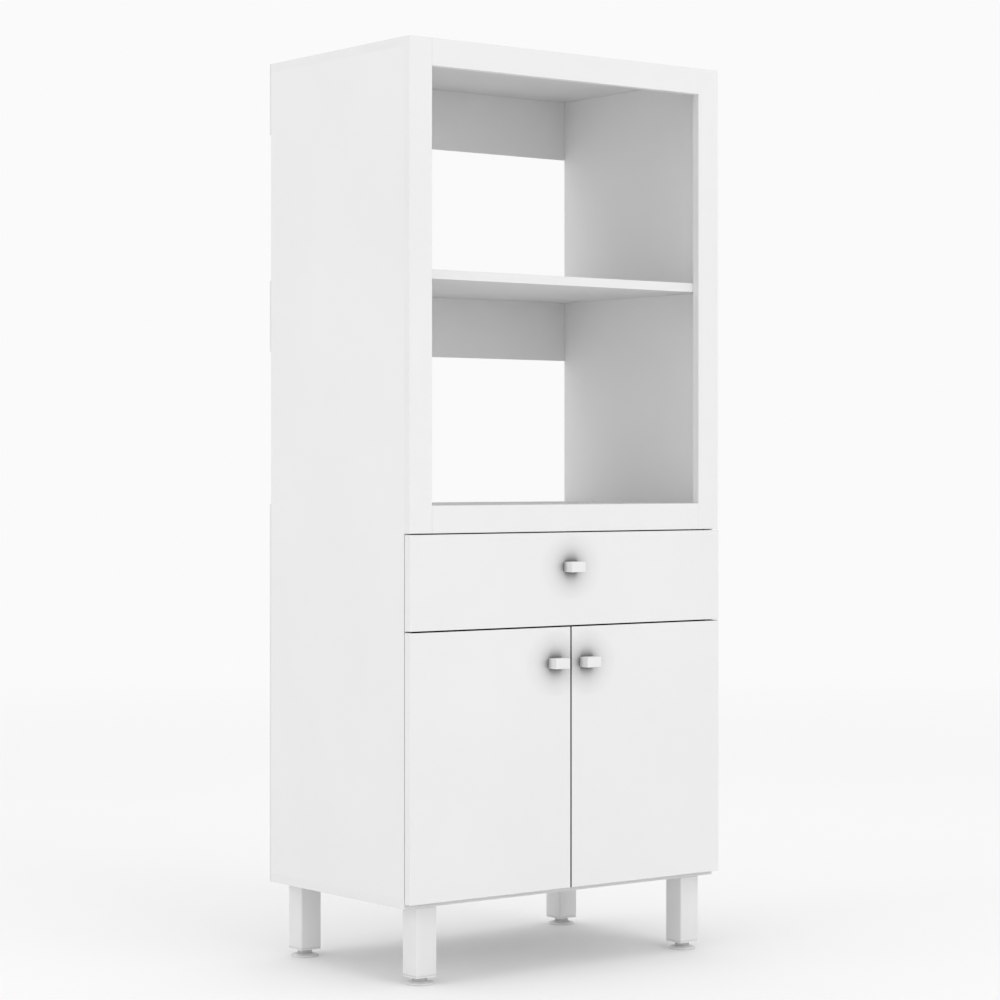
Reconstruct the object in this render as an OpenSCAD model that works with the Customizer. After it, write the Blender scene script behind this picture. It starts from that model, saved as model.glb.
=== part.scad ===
// Tall microwave cabinet: a framed open compartment with two niches over one drawer and two doors,
// on four square legs. Millimetres. +X is the cabinet's right as seen from the front, the fronts
// face -Y, +Z is up, and z = 0 is the floor.

/* [Carcass] */
// Overall width
cabinet_w = 650; // [600:10:800]
// Overall height, floor to top
cabinet_h = 1505; // [1480:5:1700]
// Depth of the side panels, front edge to rear edge
carcass_d = 387; // [375:1:450]
// Thickness of every board
board = 15; // [15:1:18]
// Thickness of the hardboard backs
back_t = 3; // [3:0.5:5]
// Height of the two open strips of hardboard
back_strip_h = 120; // [80:5:160]

/* [Open compartment] */
// Height of the front frame
frame_h = 786; // [760:1:800]
// Width of the frame's stiles and rails
frame_w = 44; // [40:1:55]
// Clear height of the lower niche
lower_niche_h = 361; // [320:1:380]

/* [Fronts] */
// Height of the drawer front
drawer_front_h = 152.5; // [145:0.5:160]
// Gap between neighbouring fronts
reveal = 2; // [1.5:0.5:4]
// Gap between the carcass and the fronts behind them
front_gap = 2; // [2:0.5:3]
// Strip of the carcass that shows under the doors
door_lift = 8; // [4:1:12]

/* [Knobs] */
// Width of a knob
knob_w = 29; // [22:1:36]
// Height of a knob
knob_h = 17; // [14:1:22]
// How far a knob stands out from its front
knob_out = 21; // [16:0.5:30]
// Drawer knob's height above the middle of its front
drawer_knob_rise = 20; // [0:1:30]
// Door knobs' distance below the top of the door
door_knob_drop = 59; // [40:1:90]
// Door knobs' distance from the door's closing edge
door_knob_inset = 32; // [28:1:45]

/* [Legs] */
// Side of the square legs
leg_w = 40; // [34:1:45]
// Height of the legs
leg_h = 113; // [90:1:125]
// Wall of the leg tube
leg_wall = 1.5; // [1.2:0.1:3]
// Distance from the leg to the side of the cabinet
leg_inset = 27.5; // [20:0.5:40]
// Distance from the front legs to the front edge of the carcass
leg_front = 4; // [2:0.5:20]
// Distance from the rear legs to the rear edge of the carcass
leg_back = 12; // [5:0.5:30]
// Height of the levelling glide below the leg
glide_h = 12; // [10:1:20]
// Diameter of the glide's disc
glide_d = 46; // [36:1:50]
// Diameter of the glide's neck
glide_neck_d = 24; // [16:1:28]
// Length of thread on the glide's stem
glide_stem = 32; // [28:1:38]

/* [Drawer] */
// Depth of the drawer box
drawer_d = 350; // [300:10:350]
// Height of the drawer's sides
drawer_h = 110; // [80:1:114]
// Width left for one runner
runner_gap = 12.5; // [12.5:0.1:13.5]
// Height of the drawer bottom above the lower edge of the sides
bottom_rise = 10; // [8:0.5:14]
// Depth of the grooves that hold the drawer bottom
groove = 5; // [4:0.5:6]

/* [Runners] */
// Sheet thickness of the runner profiles
sheet = 1.2; // [1:0.1:1.4]
// Diameter of the rollers
roller_d = 20; // [18:0.5:22]
// Width of the rollers
roller_w = 6; // [5:0.1:6.2]
// Distance from a roller's axis to the end of its profile
roller_end = 14; // [12:0.5:20]
// Height of the runners above the cross rail
runner_lift = 17; // [12:1:18]

/* [Cupboard] */
// Height of the loose shelf above the middle between the hinges
inner_shelf_rise = 0; // [-30:1:30]
// How far the loose shelf stands back from the front
inner_shelf_back = 30; // [20:1:60]
// Distance of the hinges from the ends of the door
hinge_end = 80; // [60:1:100]
// Depth of the rail between the drawer and the doors
rail_d = 80; // [60:1:120]

/* [Hinges] */
// Diameter of a hinge cup
cup_d = 35; // [35:0.5:36]
// Depth of a hinge cup
cup_t = 11.5; // [11:0.1:12]
// Wood left between the cup and the door's edge
cup_edge = 5; // [5:0.1:5.5]
// Diameter of the hinge pins
pin_d = 2.5; // [2.2:0.1:2.8]
// Thickness of a hinge link, along the pins
link_t = 8; // [6:0.1:8.4]

/* [Fasteners] */
// Diameter of a cam housing
cam_d = 15; // [14:0.5:16]
// Distance from a board's end to the cam's axis
cam_in = 24; // [22:0.5:34]
// Distance from the front and rear edges to the cams
cam_edge = 60; // [50:1:90]
// Diameter of the wooden dowels
dowel_d = 8; // [6:0.5:8]
// Length of the wooden dowels
dowel_l = 30; // [26:1:34]
// Distance from each cam to its dowel
dowel_step = 32; // [24:1:48]

/* [Hidden] */

// Roundness of holes, pins and rollers
$fn = 48;
// Play round a fastener in its hole, on the radius
play = 0.05;
// Overshoot of a cut past the surface that it opens
over = 1;

// Main planes, left to right
half_w = cabinet_w / 2;
inner_w = cabinet_w - 2 * board;
inner_x = inner_w / 2;

// Main planes, front to back: the origin is midway between the knobs and the backs
total_d = knob_out + board + front_gap + carcass_d + back_t;
carcass_y = -total_d / 2 + knob_out + board + front_gap;
rear_y = carcass_y + carcass_d;
front_back_y = carcass_y - front_gap;
front_face_y = front_back_y - board;

// Main planes, bottom to top
carcass_z = leg_h + glide_h;
frame_z = cabinet_h - frame_h;
niche_floor_z = frame_z + frame_w - board;
shelf_z = niche_floor_z + board + lower_niche_h;
drawer_front_z = frame_z - reveal - drawer_front_h;
door_top_z = drawer_front_z - reveal;
door_z = carcass_z + door_lift;
door_w = (cabinet_w - reveal) / 2;
rail_z = drawer_front_z - reveal / 2 - board / 2;

// Knobs
drawer_knob_z = drawer_front_z + drawer_front_h / 2 + drawer_knob_rise;
door_knob_z = door_top_z - door_knob_drop;
door_knob_x = reveal / 2 + door_knob_inset;
knob_screw_d = 4;
knob_screw_bite = 8;
screw_head_t = 2.5;

// Legs and glides
leg_x = half_w - leg_inset - leg_w / 2;
leg_ys = [carcass_y + leg_front + leg_w / 2, rear_y - leg_back - leg_w / 2];
plug_t = 20;
plug_flange = 2;
stem_d = 8;
leg_bolt_bite = 16;
leg_bolt_head = 5;
glide_disc_t = 3;
glide_cone_t = 3;

// Drawer box and runners
runner_z = rail_z + board + runner_lift;
drawer_z = runner_z + sheet;
drawer_x = inner_x - runner_gap;
drawer_in_x = drawer_x - board;
drawer_end_y = front_back_y + drawer_d;
bottom_z = drawer_z + bottom_rise;
bottom_play = 0.3;
roller_play = 0.3;
roller_side = 0.5;
roller_head_t = 0.8;
roller_pin_d = 4;
roller_z = runner_z + roller_d / 2;
flange_play = 0.5;
runner_top_z = runner_z + roller_d + 2 * roller_play + flange_play;
cabinet_flange = 8.5;
drawer_flange = 8;
seat_flange = 12;
front_roller_y = carcass_y + roller_end;
rear_roller_y = drawer_end_y - roller_end;
profile_y = carcass_y + 1;
profile_end_y = profile_y + drawer_d;
panel_screw_d = 6;
panel_screw_l = 11;
panel_head_d = 9;
panel_head_t = 1.6;
wood_screw_d = 3.5;
wood_head_d = 7;
runner_screw_l = board - groove - 1;
runner_screw_ys = [50, 170, 290];
drawer_screw_d = 4;
drawer_screw_l = 35;
drawer_head_d = 8;
drawer_head_t = 2.5;
drawer_screw_rises = [0.35, 0.85];

// Hinge, seen from above: X runs in from the cabinet's side, Y runs back from its front edge
hinge_zs = [door_z + hinge_end, door_top_z - hinge_end];
cup_wall = 0.6;
cup_floor = 0.8;
cup_x = cup_edge + cup_d / 2;
cup_lip = 1;
cup_flange_x = cup_x - 4.5;
arm_pin = [board + 10.7, 3.7];
cup_pin = [cup_edge + cup_wall + 5, -front_gap - 2.5];
link_bar = 2.6;
link_eye = 2.8;
cup_eye = 2.2;
arm_eye = 3.2;
arm_play = 0.4;
arm_sheet = 1.2;
arm_end = 60;
arm_web_y = 8;
arm_cheek_y = 15;
arm_screw_y = 51;
arm_screw_d = 4;
arm_screw_l = 6;
plate_t = 2;
plate_y = 37;
plate_w = 24;
plate_h = 48;
plate_hole = 16;
rib_y = 23;
rib_end = arm_end - 2;
rib_play = 0.2;
cup_screw_x = cup_x + 9.5;
cup_screw_z = 24;
cup_screw_l = 10;
wing_w = 11;

// Loose shelf and its pins
inner_shelf_z = (hinge_zs[0] + hinge_zs[1] - board) / 2 + inner_shelf_rise;
shelf_side_play = 1;
shelf_pin_d = 5;
shelf_pin_in = 8;
shelf_pin_out = 7;
shelf_pin_front = 40;
shelf_pin_rear = 50;
shelf_pin_ys = [carcass_y + inner_shelf_back + shelf_pin_front, rear_y - shelf_pin_rear];

// Cams and dowels
cam_t = 12;
cam_slot = [cam_d * 0.6, 1.4, 3];
cam_ys = [carcass_y + cam_edge, rear_y - cam_edge];
rail_cam_y = carcass_y + rail_d / 2 - dowel_step / 2;
bolt_d = 6;
bolt_thread_d = 5;
bolt_bite = 10.5;
frame_dowel_d = 6;
frame_dowel_end = 60;
frame_dowel_zs = [frame_dowel_end, frame_h / 2, frame_h - frame_dowel_end];
frame_dowel_out = 9;

// Screws of the top board
top_screw_d = 5;
top_screw_l = 50;
top_head_d = 9;
top_head_t = 3;

// Screws of the backs
back_screw_d = 2.4;
back_screw_l = 18;
back_head_d = 5.4;
back_head_t = 1.8;
back_pitch = 190;
strip_parts = [0.35, 0.8];
closed_parts = [0.1, 0.37, 0.63, 0.9];

// ---------------------------------------------------------------- shared shapes

// A box from its lowest corner to its highest corner
module box(low, high) {
    translate(low) cube(high - low);
}

// The children once as drawn, at the left, and once mirrored to the right
module both_sides() {
    for (side = [0, 1]) mirror([side, 0, 0]) children();
}

// A countersunk screw along -Z whose flat head lies at z = 0
module sunk_screw(d, length, head_d, head_t, extra = 0) {
    translate([0, 0, -length - extra]) cylinder(d = d + 2 * extra, h = length + extra);
    translate([0, 0, -head_t - extra]) {
        cylinder(d1 = d + 2 * extra, d2 = head_d + 2 * extra, h = head_t + extra);
    }
}

// A board of the carcass that lies flat between the two sides
module flat_board(z, depth) {
    box([-inner_x, carcass_y, z], [inner_x, carcass_y + depth, z + board]);
}

// ---------------------------------------------------------------- cams and bolts
// A cam joint: the board with the cam ends at x = 0 and the bolt bites into the board beyond it.

module cam() {
    difference() {
        translate([-cam_in, 0, -board / 2]) cylinder(d = cam_d, h = cam_t);
        translate([-cam_in - bolt_d / 2, 0, 0]) rotate([0, 90, 0]) {
            cylinder(d = bolt_d + 1, h = cam_d);
        }
        for (turn = [0, 90]) translate([-cam_in, 0, -board / 2]) rotate([0, 0, turn]) {
            cube(cam_slot, center = true);
        }
    }
}

module cam_bolt() {
    translate([-cam_in, 0, 0]) rotate([0, 90, 0]) cylinder(d = bolt_d, h = cam_in);
    rotate([0, 90, 0]) cylinder(d = bolt_thread_d, h = bolt_bite);
}

module cam_hole() {
    translate([-cam_in, 0, -board / 2 - over]) {
        cylinder(d = cam_d + 2 * play, h = cam_t + over + play);
    }
    translate([-cam_in, 0, 0]) rotate([0, 90, 0]) cylinder(d = bolt_d + 2 * play, h = cam_in);
    rotate([0, 90, 0]) cylinder(d = bolt_thread_d + 2 * play, h = bolt_bite + play);
}

// The children at every cam joint of the carcass, moved along the board's edge by step
module carcass_joints(step = 0) {
    both_sides() {
        for (end = [0, 1]) {
            y = cam_ys[end] + (end == 0 ? step : -step);
            for (z = [shelf_z, niche_floor_z]) translate([inner_x, y, z + board / 2]) children();
            translate([half_w - board / 2, y, carcass_z + board]) rotate([0, 90, 0]) children();
        }
        translate([inner_x, rail_cam_y + step, rail_z + board / 2]) children();
    }
}

// The children on the top face over the side panels, where screws hold the top board
module top_places(step = 0) {
    both_sides() {
        for (end = [0, 1]) {
            y = cam_ys[end] + (end == 0 ? step : -step);
            translate([half_w - board / 2, y, cabinet_h]) children();
        }
    }
}

// The children at every cam joint between the drawer's sides and its front
module drawer_joints() {
    both_sides() {
        for (rise = [0.3, 0.8]) {
            translate([drawer_x - board / 2, front_back_y, drawer_z + rise * drawer_h]) {
                rotate([0, 0, -90]) rotate([-90, 0, 0]) children();
            }
        }
    }
}

module cams() {
    color("gainsboro") carcass_joints() cam();
}

module cam_bolts() {
    color("silver") carcass_joints() cam_bolt();
}

module drawer_cams() {
    color("gainsboro") drawer_joints() cam();
}

module drawer_cam_bolts() {
    color("silver") drawer_joints() cam_bolt();
}

// ---------------------------------------------------------------- dowels

// A dowel across the joint plane x = 0, with bite of its length past the plane
module dowel(d, bite, extra = 0) {
    translate([bite - dowel_l - extra, 0, 0]) rotate([0, 90, 0]) {
        cylinder(d = d + 2 * extra, h = dowel_l + 2 * extra);
    }
}

// All dowels of the carcass and the frame, or with extra their holes
module all_dowels(extra = 0) {
    carcass_joints(dowel_step) dowel(dowel_d, bolt_bite, extra);
    top_places(dowel_step) translate([0, 0, -board]) rotate([0, -90, 0]) {
        dowel(dowel_d, bolt_bite, extra);
    }
    both_sides() {
        for (z = frame_dowel_zs) {
            translate([half_w - board / 2, carcass_y, frame_z + z]) rotate([0, 0, -90]) {
                dowel(dowel_d, frame_dowel_out, extra);
            }
        }
        for (z = [frame_z, cabinet_h - frame_w], part = [1, 3]) {
            translate([half_w - frame_w, carcass_y - board / 2, z + part * frame_w / 4]) {
                dowel(frame_dowel_d, dowel_l / 2, extra);
            }
        }
    }
}

module dowels() {
    color("burlywood") all_dowels();
}

// ---------------------------------------------------------------- screws of the top board

module all_top_screws(extra = 0) {
    top_places() sunk_screw(top_screw_d, top_screw_l, top_head_d, top_head_t, extra);
}

module top_screws() {
    color("silver") all_top_screws();
}

// ---------------------------------------------------------------- screws of the backs

// The screws through one sheet into the sides and into the boards at the given heights
module back_row(board_zs, side_zs, extra) {
    for (z = board_zs, col = [-1, 0, 1]) translate([col * back_pitch, rear_y + back_t, z]) {
        rotate([-90, 0, 0]) sunk_screw(back_screw_d, back_screw_l, back_head_d, back_head_t, extra);
    }
    both_sides() {
        for (z = side_zs) translate([half_w - board / 2, rear_y + back_t, z]) {
            rotate([-90, 0, 0]) {
                sunk_screw(back_screw_d, back_screw_l, back_head_d, back_head_t, extra);
            }
        }
    }
}

module all_back_screws(extra = 0) {
    for (top = [cabinet_h, shelf_z + board]) {
        back_row([top - board / 2], [for (part = strip_parts) top - part * back_strip_h], extra);
    }
    closed_h = niche_floor_z - carcass_z;
    back_row(
        [niche_floor_z + board / 2, carcass_z + board / 2],
        [for (part = closed_parts) carcass_z + part * closed_h],
        extra
    );
}

module back_screws() {
    color("silver") all_back_screws();
}

// ---------------------------------------------------------------- carcass

module side_panel() {
    difference() {
        box([inner_x, carcass_y, carcass_z + board], [half_w, rear_y, cabinet_h - board]);
        carcass_joints() cam_hole();
        all_dowels(play);
        all_back_screws(play);
        all_top_screws(play);
        both_sides() panel_screw_set(play);
        both_sides() shelf_pin_set(play);
    }
}

module side_panel_right() {
    color("white") side_panel();
}

module side_panel_left() {
    color("white") mirror([1, 0, 0]) side_panel();
}

module top_board() {
    color("white") difference() {
        box([-half_w, carcass_y, cabinet_h - board], [half_w, rear_y, cabinet_h]);
        all_top_screws(play);
        all_dowels(play);
        all_back_screws(play);
    }
}

module bottom_board() {
    color("white") difference() {
        box([-half_w, carcass_y, carcass_z], [half_w, rear_y, carcass_z + board]);
        carcass_joints() cam_hole();
        all_dowels(play);
        all_back_screws(play);
        all_leg_bolts(play);
    }
}

module niche_floor() {
    color("white") difference() {
        flat_board(niche_floor_z, carcass_d);
        carcass_joints() cam_hole();
        all_dowels(play);
        all_back_screws(play);
    }
}

module middle_shelf() {
    color("white") difference() {
        flat_board(shelf_z, carcass_d);
        carcass_joints() cam_hole();
        all_dowels(play);
        all_back_screws(play);
    }
}

module cross_rail() {
    color("white") difference() {
        flat_board(rail_z, rail_d);
        carcass_joints() cam_hole();
        all_dowels(play);
    }
}

module back_strip_upper() {
    color("whitesmoke") difference() {
        box([-half_w, rear_y, cabinet_h - back_strip_h], [half_w, rear_y + back_t, cabinet_h]);
        all_back_screws(play);
    }
}

module back_strip_lower() {
    top = shelf_z + board;
    color("whitesmoke") difference() {
        box([-half_w, rear_y, top - back_strip_h], [half_w, rear_y + back_t, top]);
        all_back_screws(play);
    }
}

module back_panel() {
    color("whitesmoke") difference() {
        box([-half_w, rear_y, carcass_z], [half_w, rear_y + back_t, niche_floor_z + board]);
        all_back_screws(play);
    }
}

// ---------------------------------------------------------------- front frame

module frame_stile() {
    difference() {
        box([half_w - frame_w, carcass_y - board, frame_z], [half_w, carcass_y, cabinet_h]);
        all_dowels(play);
    }
}

module frame_rail(z) {
    edge = half_w - frame_w;
    color("white") difference() {
        box([-edge, carcass_y - board, z], [edge, carcass_y, z + frame_w]);
        all_dowels(play);
    }
}

module frame_stile_right() {
    color("white") frame_stile();
}

module frame_stile_left() {
    color("white") mirror([1, 0, 0]) frame_stile();
}

module frame_rail_top() {
    frame_rail(cabinet_h - frame_w);
}

module frame_rail_bottom() {
    frame_rail(frame_z);
}

// ---------------------------------------------------------------- loose shelf

// The two pins in the right side panel, or with extra their holes
module shelf_pin_set(extra = 0) {
    for (y = shelf_pin_ys) {
        translate([inner_x - shelf_pin_out, y, inner_shelf_z - shelf_pin_d / 2]) rotate([0, 90, 0]) {
            cylinder(d = shelf_pin_d + 2 * extra, h = shelf_pin_in + shelf_pin_out + extra);
        }
    }
}

module shelf_pins() {
    color("silver") both_sides() shelf_pin_set();
}

module cupboard_shelf() {
    edge = inner_x - shelf_side_play;
    color("white") box(
        [-edge, carcass_y + inner_shelf_back, inner_shelf_z],
        [edge, rear_y - shelf_side_play, inner_shelf_z + board]
    );
}

// ---------------------------------------------------------------- legs and glides

module leg_places() {
    for (x = [-leg_x, leg_x], y = leg_ys) translate([x, y, 0]) children();
}

module leg_tube() {
    inside = leg_w - 2 * leg_wall;
    tube_z = glide_h + plug_flange;
    difference() {
        box([-leg_w / 2, -leg_w / 2, tube_z], [leg_w / 2, leg_w / 2, carcass_z]);
        box([-inside / 2, -inside / 2, tube_z - over], [inside / 2, inside / 2, carcass_z + over]);
    }
}

// The plug in the top of a leg takes the leg bolt, the one in its foot guides the glide
module leg_plug_pair() {
    side = leg_w - 2 * leg_wall - 2 * play;
    difference() {
        box([-side / 2, -side / 2, carcass_z - plug_t], [side / 2, side / 2, carcass_z]);
        translate([0, 0, carcass_z - plug_t - over]) {
            cylinder(d = stem_d + 2 * play, h = plug_t + 2 * over);
        }
    }
    difference() {
        union() {
            box([-leg_w / 2, -leg_w / 2, glide_h], [leg_w / 2, leg_w / 2, glide_h + plug_flange]);
            box([-side / 2, -side / 2, glide_h], [side / 2, side / 2, glide_h + plug_t]);
        }
        translate([0, 0, glide_h - over]) cylinder(d = stem_d + 2 * play, h = plug_t + 2 * over);
    }
}

module leg_bolt(extra = 0) {
    translate([0, 0, carcass_z - leg_bolt_bite]) {
        cylinder(d = stem_d + 2 * extra, h = leg_bolt_bite + board);
    }
    translate([0, 0, carcass_z + board]) {
        cylinder(d = 1.7 * stem_d, h = leg_bolt_head, $fn = 6);
    }
}

module all_leg_bolts(extra = 0) {
    leg_places() leg_bolt(extra);
}

module legs() {
    color("white") leg_places() leg_tube();
}

module leg_plugs() {
    color("gainsboro") leg_places() leg_plug_pair();
}

module leg_bolts() {
    color("silver") all_leg_bolts();
}

// A levelling glide: a disc, a cone, a neck that stops against the leg, and a threaded stem
module glide(side, row) {
    cone_z = glide_disc_t + glide_cone_t;
    color("silver") translate([side * leg_x, leg_ys[row], 0]) {
        cylinder(d = glide_d, h = glide_disc_t);
        translate([0, 0, glide_disc_t]) {
            cylinder(d1 = glide_d - 3, d2 = glide_neck_d, h = glide_cone_t);
        }
        translate([0, 0, cone_z]) cylinder(d = glide_neck_d, h = glide_h - cone_z);
        translate([0, 0, glide_h]) cylinder(d = stem_d, h = glide_stem);
    }
}

module glide_front_left() {
    glide(-1, 0);
}

module glide_front_right() {
    glide(1, 0);
}

module glide_rear_left() {
    glide(-1, 1);
}

module glide_rear_right() {
    glide(1, 1);
}

// ---------------------------------------------------------------- knobs

// A block knob on the face of a front, centred on x = 0 and z = 0
module knob() {
    color("white") difference() {
        box(
            [-knob_w / 2, front_face_y - knob_out, -knob_h / 2],
            [knob_w / 2, front_face_y, knob_h / 2]
        );
        knob_screw_shape(play);
    }
}

// The screw from the back of the front into the knob
module knob_screw_shape(extra = 0) {
    length = board + knob_screw_bite;
    translate([0, front_back_y, 0]) rotate([90, 0, 0]) {
        cylinder(d = knob_screw_d + 2 * extra, h = length + extra);
    }
    translate([0, front_back_y, 0]) rotate([-90, 0, 0]) {
        cylinder(d = 2 * knob_screw_d, h = screw_head_t);
    }
}

module at_drawer_knob() {
    translate([0, 0, drawer_knob_z]) children();
}

module at_door_knob(side) {
    translate([side * door_knob_x, 0, door_knob_z]) children();
}

module knob_left() {
    at_door_knob(-1) knob();
}

module knob_right() {
    at_door_knob(1) knob();
}

module drawer_knob() {
    at_drawer_knob() knob();
}

module knob_screw_left() {
    color("silver") at_door_knob(-1) knob_screw_shape();
}

module knob_screw_right() {
    color("silver") at_door_knob(1) knob_screw_shape();
}

module drawer_knob_screw() {
    color("silver") at_drawer_knob() knob_screw_shape();
}

// ---------------------------------------------------------------- doors and hinges
// The hinge's pieces are drawn at the left side, in its own X and Y, and mirrored to the right.

module left_hinges() {
    for (z = hinge_zs) translate([-half_w, carcass_y, z]) children();
}

// A slab in the hinge's plan, between two heights
module slab(low, high) {
    translate([0, 0, low]) linear_extrude(high - low) children();
}

// The cranked link, bent away from the side panel's corner and the rim of the cup
module link() {
    reach = cup_pin - arm_pin;
    length = norm(reach);
    path = length * [[0, 0], [0.32, 0.24], [0.72, 0.27], [1, 0]];
    half = [0, link_bar / 2];
    difference() {
        slab(-link_t / 2, link_t / 2) translate(arm_pin) rotate(atan2(reach[1], reach[0])) {
            circle(r = link_eye);
            translate([length, 0]) circle(r = cup_eye);
            polygon(concat(
                [for (point = path) point + half],
                [for (i = [len(path) - 1:-1:0]) path[i] - half]
            ));
        }
        for (pin = [arm_pin, cup_pin]) translate([pin[0], pin[1], -link_t]) {
            cylinder(d = pin_d + 2 * play, h = 2 * link_t);
        }
    }
}

// The cup, sunk in the door, with its wings on the door's back and its pin
module cup() {
    mouth_y = -front_gap;
    inside_d = cup_d - 2 * cup_wall;
    difference() {
        union() {
            translate([cup_x, mouth_y, 0]) rotate([90, 0, 0]) cylinder(d = cup_d, h = cup_t);
            box(
                [cup_flange_x, mouth_y, -cup_d / 2],
                [cup_x + cup_d / 2, mouth_y + cup_lip, cup_d / 2]
            );
            box(
                [cup_screw_x - wing_w / 2, mouth_y, -cup_screw_z - wing_w / 2],
                [cup_screw_x + wing_w / 2, mouth_y + cup_lip, cup_screw_z + wing_w / 2]
            );
        }
        translate([cup_x, mouth_y + cup_lip + over, 0]) rotate([90, 0, 0]) {
            cylinder(d = inside_d, h = cup_t - cup_floor + cup_lip + over);
        }
        cup_screw_pair(play);
    }
    intersection() {
        translate([cup_pin[0], cup_pin[1], -cup_d / 2]) cylinder(d = pin_d, h = cup_d);
        translate([cup_x, mouth_y, 0]) rotate([90, 0, 0]) {
            cylinder(d = inside_d + cup_wall, h = cup_t);
        }
    }
}

module cup_screw_pair(extra = 0) {
    for (side = [-1, 1]) translate([cup_screw_x, cup_lip - front_gap, side * cup_screw_z]) {
        rotate([-90, 0, 0]) sunk_screw(wood_screw_d, cup_screw_l, wood_head_d, cup_lip, extra);
    }
}

module cup_recess() {
    translate([cup_x, over - front_gap, 0]) rotate([90, 0, 0]) {
        cylinder(d = cup_d + 2 * play, h = cup_t + play + over);
    }
}

// The plate on the side panel, with the rib that carries the arm
module plate() {
    rib = link_t / 2 + arm_play - rib_play;
    rib_top = arm_pin[0] + arm_eye - arm_sheet - rib_play;
    difference() {
        union() {
            box(
                [board, plate_y - plate_w / 2, -plate_h / 2],
                [board + plate_t, plate_y + plate_w / 2, plate_h / 2]
            );
            box([board, rib_y, -rib], [rib_top, rib_end, rib]);
        }
        plate_screws(play);
        arm_screw(play);
    }
}

module plate_screws(extra = 0) {
    for (side = [-1, 1]) translate([board + plate_t, plate_y, side * plate_hole]) {
        panel_screw(plate_t, extra);
    }
}

// A screw along -X into a side panel, through a sheet of the given thickness
module panel_screw(through, extra = 0) {
    rotate([0, -90, 0]) {
        cylinder(d = panel_screw_d + 2 * extra, h = panel_screw_l + through + extra);
    }
    rotate([0, 90, 0]) cylinder(d = panel_head_d, h = panel_head_t);
}

// The screw that clamps the arm to the rib
module arm_screw(extra = 0) {
    web_x = arm_pin[0] + arm_eye;
    translate([web_x, arm_screw_y, 0]) {
        rotate([0, -90, 0]) cylinder(d = arm_screw_d + 2 * extra, h = arm_screw_l);
        rotate([0, 90, 0]) cylinder(d = wood_head_d, h = panel_head_t);
    }
}

// The arm: two cheeks with the pin between them, and a web over the rib
module arm() {
    inner = link_t / 2 + arm_play;
    web_x = arm_pin[0] + arm_eye;
    difference() {
        union() {
            for (side = [-1, 1]) {
                low = side < 0 ? -inner - arm_sheet : inner;
                slab(low, low + arm_sheet) {
                    translate(arm_pin) circle(r = arm_eye);
                    translate([arm_pin[0] - arm_eye, arm_pin[1]]) {
                        square([2 * arm_eye, arm_end - arm_pin[1]]);
                    }
                    translate([board + plate_t + rib_play, arm_cheek_y]) {
                        square([arm_pin[0] - board - plate_t, arm_end - arm_cheek_y]);
                    }
                }
            }
            box([web_x - arm_sheet, arm_web_y, -inner], [web_x, arm_end, inner]);
            translate([arm_pin[0], arm_pin[1], -inner]) cylinder(d = pin_d, h = 2 * inner);
        }
        arm_screw(play);
    }
}

module hinge_plates() {
    color("silver") both_sides() left_hinges() plate();
}

module hinge_arms() {
    color("silver") both_sides() left_hinges() arm();
}

module hinge_links_left() {
    color("silver") left_hinges() link();
}

module hinge_links_right() {
    color("silver") mirror([1, 0, 0]) left_hinges() link();
}

module hinge_cups_left() {
    color("silver") left_hinges() cup();
}

module hinge_cups_right() {
    color("silver") mirror([1, 0, 0]) left_hinges() cup();
}

module cup_screws_left() {
    color("silver") left_hinges() cup_screw_pair();
}

module cup_screws_right() {
    color("silver") mirror([1, 0, 0]) left_hinges() cup_screw_pair();
}

// The left door with its cup recesses, screw holes and knob hole
module door() {
    difference() {
        box([-half_w, front_face_y, door_z], [-half_w + door_w, front_back_y, door_top_z]);
        left_hinges() cup_recess();
        left_hinges() cup_screw_pair(play);
        at_door_knob(-1) knob_screw_shape(play);
    }
}

module door_left() {
    color("white") door();
}

module door_right() {
    color("white") mirror([1, 0, 0]) door();
}

// ---------------------------------------------------------------- runners and rollers
// The runners are drawn at the right side and mirrored to the left.

// A roller's pin with its head, along +X from the web that carries it
module roller_pin() {
    rotate([0, 90, 0]) {
        cylinder(d = roller_pin_d, h = roller_side + roller_w + roller_side);
        translate([0, 0, roller_side + roller_w + roller_play]) {
            cylinder(d = 1.6 * roller_pin_d, h = roller_head_t);
        }
    }
}

module roller() {
    translate([roller_side, 0, 0]) rotate([0, 90, 0]) difference() {
        cylinder(d = roller_d, h = roller_w);
        translate([0, 0, -over]) cylinder(d = roller_pin_d + 2 * play, h = roller_w + 2 * over);
    }
}

// The children where the roller of the cabinet's runner sits, with +X towards the drawer
module at_cabinet_roller() {
    translate([inner_x - sheet, front_roller_y, roller_z + roller_play]) {
        rotate([0, 0, 180]) children();
    }
}

// The children where the roller of the drawer's runner sits, with +X towards the side panel
module at_drawer_roller() {
    translate([drawer_x + sheet, rear_roller_y, roller_z + roller_play]) children();
}

module cabinet_runner() {
    web_x = inner_x - sheet;
    top_z = runner_top_z + sheet + flange_play;
    color("white") difference() {
        union() {
            box([web_x, profile_y, runner_z - sheet], [inner_x, profile_end_y, top_z + sheet]);
            for (z = [runner_z - sheet, top_z]) {
                box([web_x - cabinet_flange, profile_y, z], [web_x, profile_end_y, z + sheet]);
            }
            at_cabinet_roller() roller_pin();
        }
        cabinet_runner_screws(play);
    }
}

module cabinet_runner_right() {
    cabinet_runner();
}

module cabinet_runner_left() {
    mirror([1, 0, 0]) cabinet_runner();
}

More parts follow.
